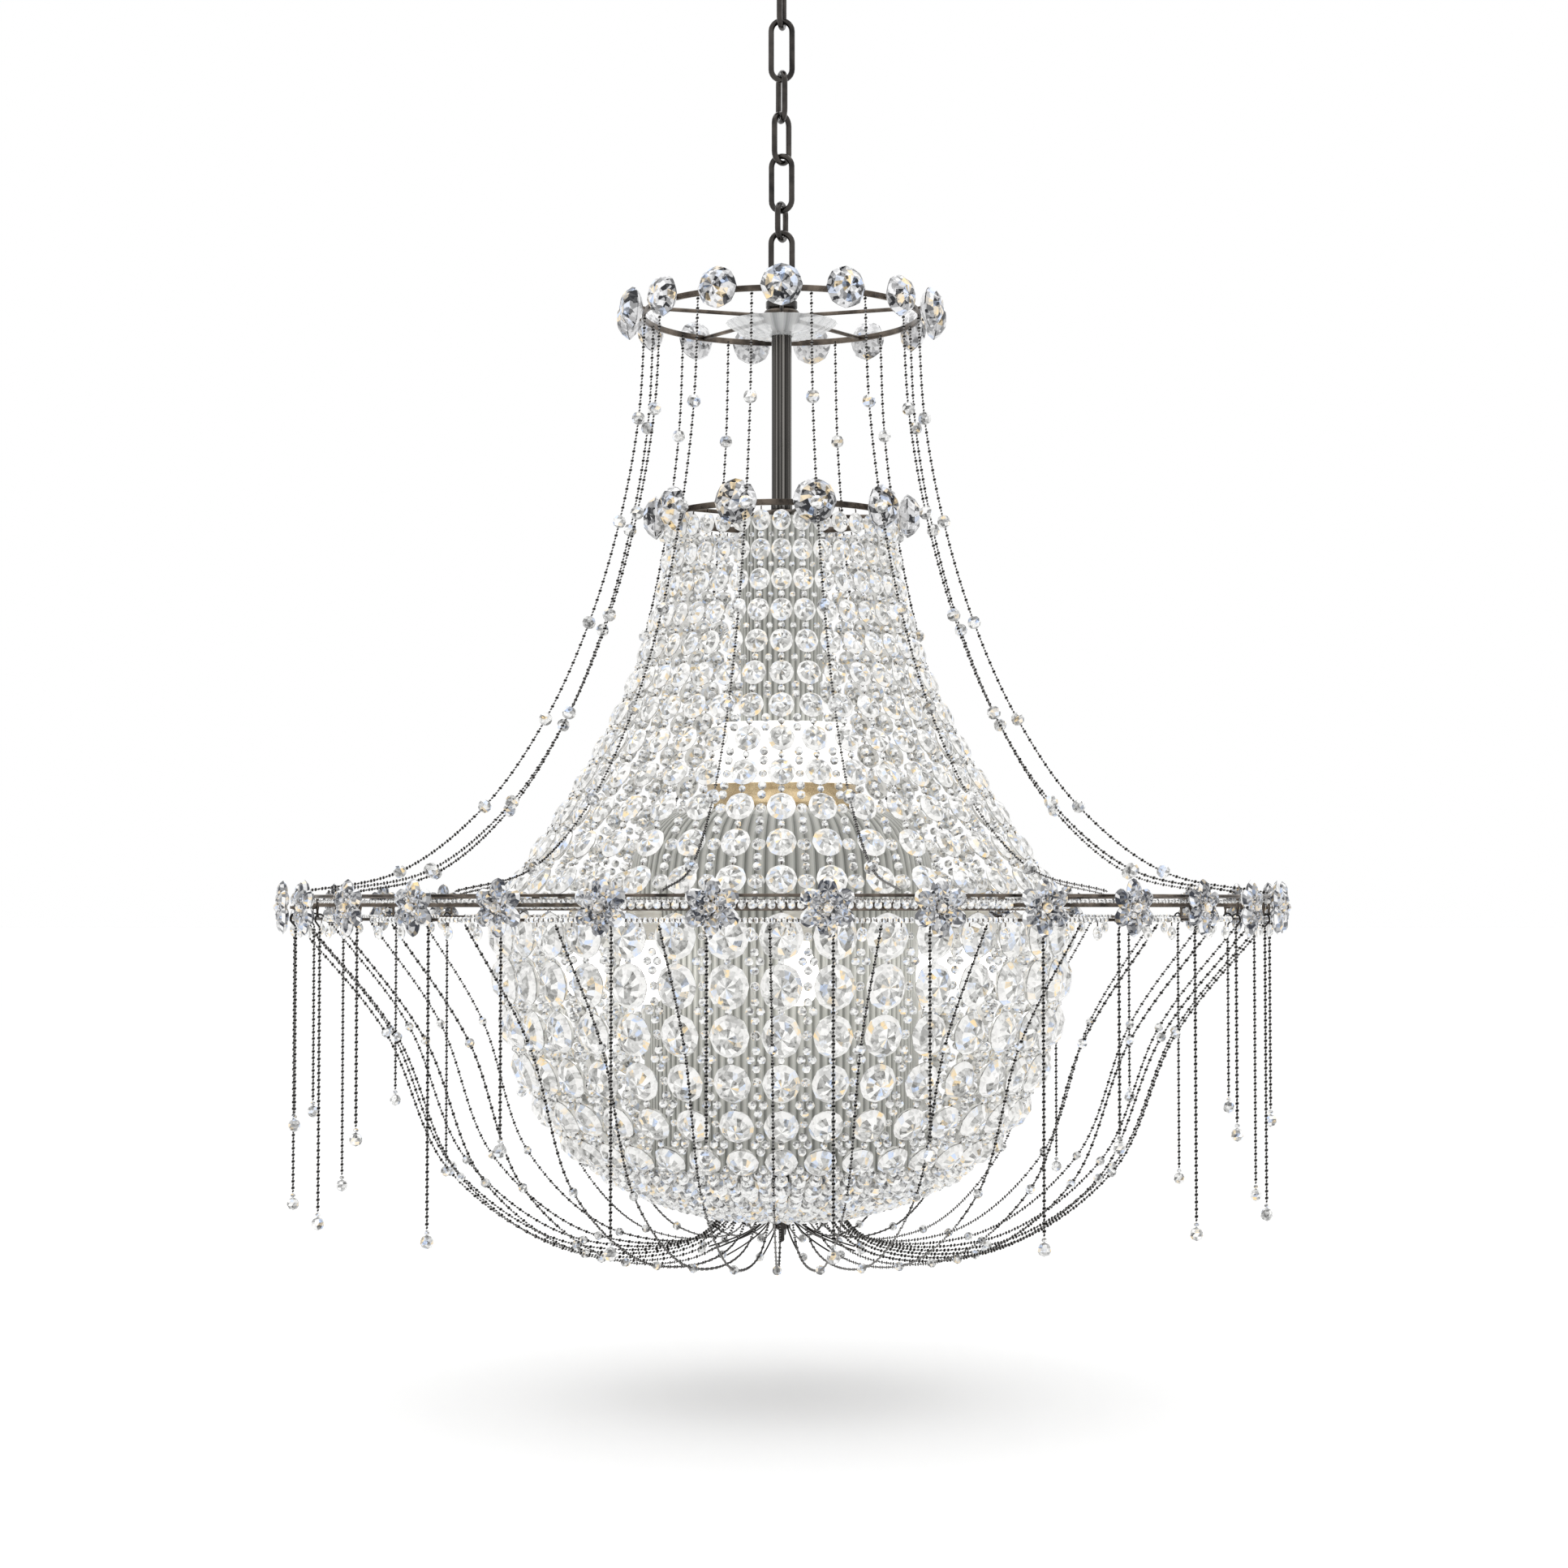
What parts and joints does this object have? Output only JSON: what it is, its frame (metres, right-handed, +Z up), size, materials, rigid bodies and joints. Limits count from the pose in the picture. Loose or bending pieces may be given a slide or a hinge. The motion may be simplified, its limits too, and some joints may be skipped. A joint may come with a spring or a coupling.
{
  "type": "crystal chandelier",
  "caption": "Ceiling chandelier on a link chain: a crown and bell of cut stones over a wide ring with rosettes, a bowl of stones, bead swags and swinging drops.",
  "frame": {"origin": "centre of the ceiling plate's top face, where it meets the ceiling", "axes": "+Z up, -Y towards the viewer of the picture, +X to the viewer's right"},
  "size_m": [0.668, 0.668, 0.9065],
  "materials": {
    "steel_dark": "glossy blackened steel",
    "chain_metal": "polished gunmetal",
    "stem_metal": "polished gunmetal",
    "hoop_metal": "satin antique bronze",
    "crystal": "clear cut crystal",
    "crystal_bead": "clear cut crystal",
    "swag_wire": "blackened wire",
    "dish_glass": "clear pressed glass",
    "reeded_glass": "clear reeded glass",
    "opal_glass": "opal glass",
    "gilt": "polished gilt",
    "holder": "ivory lamp holder",
    "bulb_glass": "frosted bulb",
    "ceiling_enamel": "satin black"
  },
  "bodies": {
    "ceiling_fitting": {"ceiling_plate": "steel_dark", "ceiling_canopy": "ceiling_enamel", "ceiling_hook": "chain_metal"},
    "link_1": {"chain_link_1": "chain_metal"},
    "link_2": {"chain_link_2": "chain_metal"},
    "link_3": {"chain_link_3": "chain_metal"},
    "link_4": {"chain_link_4": "chain_metal"},
    "link_5": {"chain_link_5": "chain_metal"},
    "link_6": {"chain_link_6": "chain_metal"},
    "chandelier": {"bell_stones": "crystal", "bottom_plate": "hoop_metal", "bowl_beads": "crystal_bead", "bowl_stones": "crystal", "bulbs": "bulb_glass", "centre_rod": "stem_metal", "crown_hoop": "hoop_metal", "crown_stones": "crystal", "drum_collar": "gilt", "finial": "chain_metal", "frame_arms": "hoop_metal", "frame_hub": "hoop_metal", "glass_dish": "dish_glass", "hoop_posts": "hoop_metal", "inner_ring": "hoop_metal", "lamp_holders": "holder", "lower_swag_beads": "crystal_bead", "lower_swag_chains": "swag_wire", "middle_hoop": "hoop_metal", "middle_stones": "crystal", "opal_drum": "opal_glass", "outer_hoops": "hoop_metal", "reeded_cylinder": "reeded_glass", "reeded_shade": "reeded_glass", "rosettes": "crystal", "spoke_hubs": "hoop_metal", "spokes": "hoop_metal", "spray_beads": "crystal_bead", "spray_wires": "swag_wire", "stem_loop": "chain_metal", "stem_tube": "stem_metal", "stone_pins": "hoop_metal", "upper_glass_tube": "reeded_glass", "upper_swag_beads": "crystal_bead", "upper_swag_chains": "swag_wire"},
    "dangles_01": {"dangle_pair_01": "crystal_bead"},
    "dangles_02": {"dangle_pair_02": "crystal_bead"},
    "dangles_03": {"dangle_pair_03": "crystal_bead"},
    "dangles_04": {"dangle_pair_04": "crystal_bead"},
    "dangles_05": {"dangle_pair_05": "crystal_bead"},
    "dangles_06": {"dangle_pair_06": "crystal_bead"},
    "dangles_07": {"dangle_pair_07": "crystal_bead"},
    "dangles_08": {"dangle_pair_08": "crystal_bead"},
    "dangles_09": {"dangle_pair_09": "crystal_bead"},
    "dangles_10": {"dangle_pair_10": "crystal_bead"},
    "dangles_11": {"dangle_pair_11": "crystal_bead"},
    "dangles_12": {"dangle_pair_12": "crystal_bead"},
    "dangles_13": {"dangle_pair_13": "crystal_bead"},
    "dangles_14": {"dangle_pair_14": "crystal_bead"},
    "dangles_15": {"dangle_pair_15": "crystal_bead"},
    "dangles_16": {"dangle_pair_16": "crystal_bead"}
  },
  "joints": [
    {"name": "hook_swing", "type": "hinge", "parent": "ceiling_fitting", "child": "link_1", "pos_m": [0, 0, -0.0542], "axis": [1, 0, 0], "range_deg": [-12, 12]},
    {"name": "link_1_swing", "type": "hinge", "parent": "link_1", "child": "link_2", "pos_m": [0, 0, -0.087], "axis": [0.2079, 0.9781, 0], "range_deg": [-12, 12]},
    {"name": "link_2_swing", "type": "hinge", "parent": "link_2", "child": "link_3", "pos_m": [0, 0, -0.1225], "axis": [1, 0, 0], "range_deg": [-12, 12]},
    {"name": "link_3_swing", "type": "hinge", "parent": "link_3", "child": "link_4", "pos_m": [0, 0, -0.1505], "axis": [-0.2924, 0.9563, 0], "range_deg": [-12, 12]},
    {"name": "link_4_swing", "type": "hinge", "parent": "link_4", "child": "link_5", "pos_m": [0, 0, -0.179], "axis": [0.682, 0.7314, 0], "range_deg": [-12, 12]},
    {"name": "link_5_swing", "type": "hinge", "parent": "link_5", "child": "link_6", "pos_m": [0, 0, -0.2115], "axis": [0.9659, -0.2588, 0], "range_deg": [-12, 12]},
    {"name": "link_6_swing", "type": "hinge", "parent": "link_6", "child": "chandelier", "pos_m": [0, 0, -0.231], "axis": [0.3746, 0.9272, 0], "range_deg": [-12, 12]},
    {"name": "dangles_01_swing", "type": "hinge", "parent": "chandelier", "child": "dangles_01", "pos_m": [0.05605, -0.31385, -0.6856], "axis": [-0.9844, -0.1758, 0], "range_deg": [-15, 15]},
    {"name": "dangles_02_swing", "type": "hinge", "parent": "chandelier", "child": "dangles_02", "pos_m": [0.17189, -0.26851, -0.6856], "axis": [-0.8422, -0.5391, 0], "range_deg": [-15, 15]},
    {"name": "dangles_03_swing", "type": "hinge", "parent": "chandelier", "child": "dangles_03", "pos_m": [0.26156, -0.1823, -0.6856], "axis": [-0.5718, -0.8204, 0], "range_deg": [-15, 15]},
    {"name": "dangles_04_swing", "type": "hinge", "parent": "chandelier", "child": "dangles_04", "pos_m": [0.31141, -0.06832, -0.6856], "axis": [-0.2143, -0.9768, 0], "range_deg": [-15, 15]},
    {"name": "dangles_05_swing", "type": "hinge", "parent": "chandelier", "child": "dangles_05", "pos_m": [0.31385, 0.05605, -0.6856], "axis": [0.1758, -0.9844, 0], "range_deg": [-15, 15]},
    {"name": "dangles_06_swing", "type": "hinge", "parent": "chandelier", "child": "dangles_06", "pos_m": [0.26851, 0.17189, -0.6856], "axis": [0.5391, -0.8422, 0], "range_deg": [-15, 15]},
    {"name": "dangles_07_swing", "type": "hinge", "parent": "chandelier", "child": "dangles_07", "pos_m": [0.1823, 0.26156, -0.6856], "axis": [0.8204, -0.5718, 0], "range_deg": [-15, 15]},
    {"name": "dangles_08_swing", "type": "hinge", "parent": "chandelier", "child": "dangles_08", "pos_m": [0.06832, 0.31141, -0.6856], "axis": [0.9768, -0.2143, 0], "range_deg": [-15, 15]},
    {"name": "dangles_09_swing", "type": "hinge", "parent": "chandelier", "child": "dangles_09", "pos_m": [-0.05605, 0.31385, -0.6856], "axis": [0.9844, 0.1758, 0], "range_deg": [-15, 15]},
    {"name": "dangles_10_swing", "type": "hinge", "parent": "chandelier", "child": "dangles_10", "pos_m": [-0.17189, 0.26851, -0.6856], "axis": [0.8422, 0.5391, 0], "range_deg": [-15, 15]},
    {"name": "dangles_11_swing", "type": "hinge", "parent": "chandelier", "child": "dangles_11", "pos_m": [-0.26156, 0.1823, -0.6856], "axis": [0.5718, 0.8204, 0], "range_deg": [-15, 15]},
    {"name": "dangles_12_swing", "type": "hinge", "parent": "chandelier", "child": "dangles_12", "pos_m": [-0.31141, 0.06832, -0.6856], "axis": [0.2143, 0.9768, 0], "range_deg": [-15, 15]},
    {"name": "dangles_13_swing", "type": "hinge", "parent": "chandelier", "child": "dangles_13", "pos_m": [-0.31385, -0.05605, -0.6856], "axis": [-0.1758, 0.9844, 0], "range_deg": [-15, 15]},
    {"name": "dangles_14_swing", "type": "hinge", "parent": "chandelier", "child": "dangles_14", "pos_m": [-0.26851, -0.17189, -0.6856], "axis": [-0.5391, 0.8422, 0], "range_deg": [-15, 15]},
    {"name": "dangles_15_swing", "type": "hinge", "parent": "chandelier", "child": "dangles_15", "pos_m": [-0.1823, -0.26156, -0.6856], "axis": [-0.8204, 0.5718, 0], "range_deg": [-15, 15]},
    {"name": "dangles_16_swing", "type": "hinge", "parent": "chandelier", "child": "dangles_16", "pos_m": [-0.06832, -0.31141, -0.6856], "axis": [-0.9768, 0.2143, 0], "range_deg": [-15, 15]}
  ]
}
